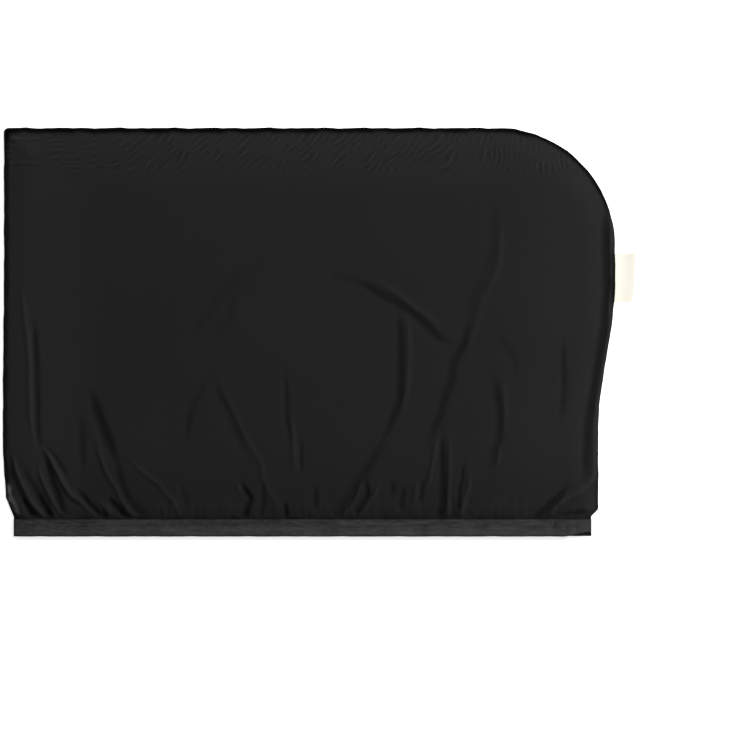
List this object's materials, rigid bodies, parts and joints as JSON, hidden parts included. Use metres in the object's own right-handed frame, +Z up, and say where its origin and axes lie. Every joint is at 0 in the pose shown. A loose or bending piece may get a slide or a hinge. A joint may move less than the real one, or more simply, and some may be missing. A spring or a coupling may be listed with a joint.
{
  "type": "car side window sunshade",
  "caption": "Sleeve of black stretch mesh with a rounded corner and an elastic hem, pulled over a car door's window frame to shade a side window",
  "frame": {"origin": "Middle of the shade's box in plan, on the surface that it lies on", "axes": "+X along the elastic hem towards the round corner and the label, +Y from the hem to the top seam, +Z up through both panels"},
  "size_m": [0.7754, 0.5, 0.0129],
  "materials": {
    "mesh": "matte",
    "thread": "matte",
    "elastic": "satin",
    "label": "satin"
  },
  "bodies": {
    "root": {"front_panel": "mesh", "back_panel": "mesh", "edge_overlock": "thread", "hem_elastic": "elastic", "side_label": "label"}
  },
  "joints": []
}
